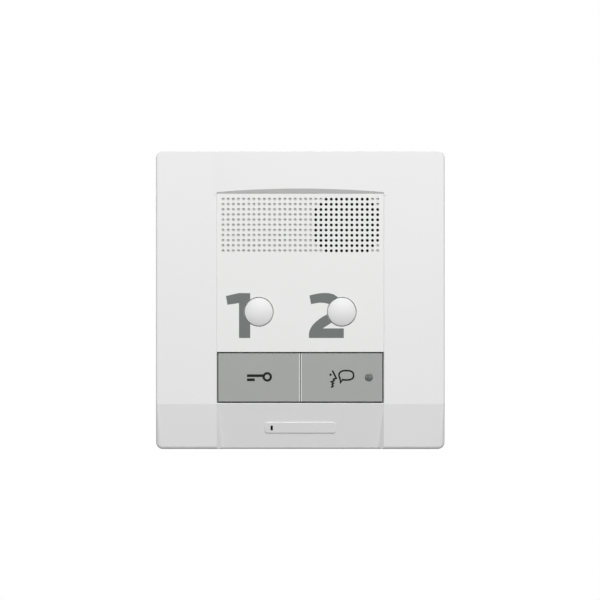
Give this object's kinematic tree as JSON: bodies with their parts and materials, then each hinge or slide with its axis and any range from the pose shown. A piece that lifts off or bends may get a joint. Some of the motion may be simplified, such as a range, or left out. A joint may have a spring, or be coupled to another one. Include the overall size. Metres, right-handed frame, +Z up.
{
  "type": "intercom room station",
  "caption": "Wall intercom room station: moulded cover with dotted loudspeaker panel, domed call buttons, flat door and talk keys, rear housing and hanging bracket.",
  "frame": {"origin": "middle of the bracket's back face, midway between its wall-box screw slots", "axes": "+Y into the wall, so the front faces -Y; +Z up; +X to the viewer's right"},
  "size_m": [0.126, 0.0257, 0.13],
  "materials": {
    "cover_plastic": "fine matt, off-white",
    "panel_plastic": "fine matt, off-white",
    "dark_plastic": "matt black",
    "housing_plastic": "matt light grey",
    "zinc_steel": "zinc coated sheet",
    "screw_steel": "bright zinc",
    "board_laminate": "green solder mask",
    "gold_pads": "gold flash",
    "mat_rubber": "translucent silicone",
    "carbon_rubber": "black rubber",
    "button_plastic": "satin white",
    "key_plastic": "satin grey",
    "lens_plastic": "smoked clear plastic",
    "led_resin": "clear resin",
    "basket_steel": "black coated steel",
    "magnet_iron": "dark ferrite and steel",
    "copper_wire": "enamelled copper",
    "cone_plastic": "black pressed cone",
    "tag_board": "brown phenolic strip",
    "lead_insulation": "red wire insulation",
    "socket_plastic": "natural nylon",
    "capsule_metal": "drawn can",
    "terminal_plastic": "green moulding",
    "can_metal": "bare aluminium can"
  },
  "bodies": {
    "station": {"front_cover": "cover_plastic", "grille_panel": "panel_plastic", "key_guide": "dark_plastic", "rear_housing": "housing_plastic", "wall_bracket": "zinc_steel", "case_screws": "screw_steel", "board_screws": "screw_steel", "circuit_board": "board_laminate", "contact_pads": "gold_pads", "keypad_mat": "mat_rubber", "rubber_dome_1": "mat_rubber", "rubber_dome_2": "mat_rubber", "rubber_dome_door": "mat_rubber", "rubber_dome_talk": "mat_rubber", "status_led": "led_resin", "speaker_frame": "basket_steel", "speaker_magnet": "magnet_iron", "voice_coil": "copper_wire", "speaker_cone": "cone_plastic", "speaker_surround": "carbon_rubber", "speaker_dust_cap": "cone_plastic", "speaker_gasket": "carbon_rubber", "speaker_screws": "screw_steel", "speaker_tag": "tag_board", "speaker_lead": "lead_insulation", "lead_socket": "socket_plastic", "microphone_boot": "carbon_rubber", "microphone_capsule": "capsule_metal", "terminal_block": "terminal_plastic", "terminal_screws": "screw_steel", "address_socket": "dark_plastic", "transformer_core": "magnet_iron", "transformer_winding": "copper_wire", "controller_chip": "dark_plastic", "amplifier_chip": "dark_plastic", "filter_capacitors": "can_metal", "chip_resistors": "dark_plastic"},
    "call_button_1": {"round_button_1": "button_plastic", "contact_pill_1": "carbon_rubber"},
    "call_button_2": {"round_button_2": "button_plastic", "contact_pill_2": "carbon_rubber"},
    "door_button": {"door_key": "key_plastic", "contact_pill_door": "carbon_rubber"},
    "talk_button": {"talk_key": "key_plastic", "status_lens": "lens_plastic", "contact_pill_talk": "carbon_rubber"}
  },
  "joints": [
    {"name": "call_button_1_press", "type": "slide", "parent": "station", "child": "call_button_1", "axis": [0, 1, 0], "range_m": [0, 0.0012], "stiffness_N_per_m": 600, "springref_m": -0.001, "deforming": ["rubber_dome_1"]},
    {"name": "call_button_2_press", "type": "slide", "parent": "station", "child": "call_button_2", "axis": [0, 1, 0], "range_m": [0, 0.0012], "stiffness_N_per_m": 600, "springref_m": -0.001, "deforming": ["rubber_dome_2"]},
    {"name": "door_button_press", "type": "slide", "parent": "station", "child": "door_button", "axis": [0, 1, 0], "range_m": [0, 0.0012], "stiffness_N_per_m": 600, "springref_m": -0.001, "deforming": ["rubber_dome_door"]},
    {"name": "talk_button_press", "type": "slide", "parent": "station", "child": "talk_button", "axis": [0, 1, 0], "range_m": [0, 0.0012], "stiffness_N_per_m": 600, "springref_m": -0.001, "deforming": ["rubber_dome_talk"]}
  ]
}
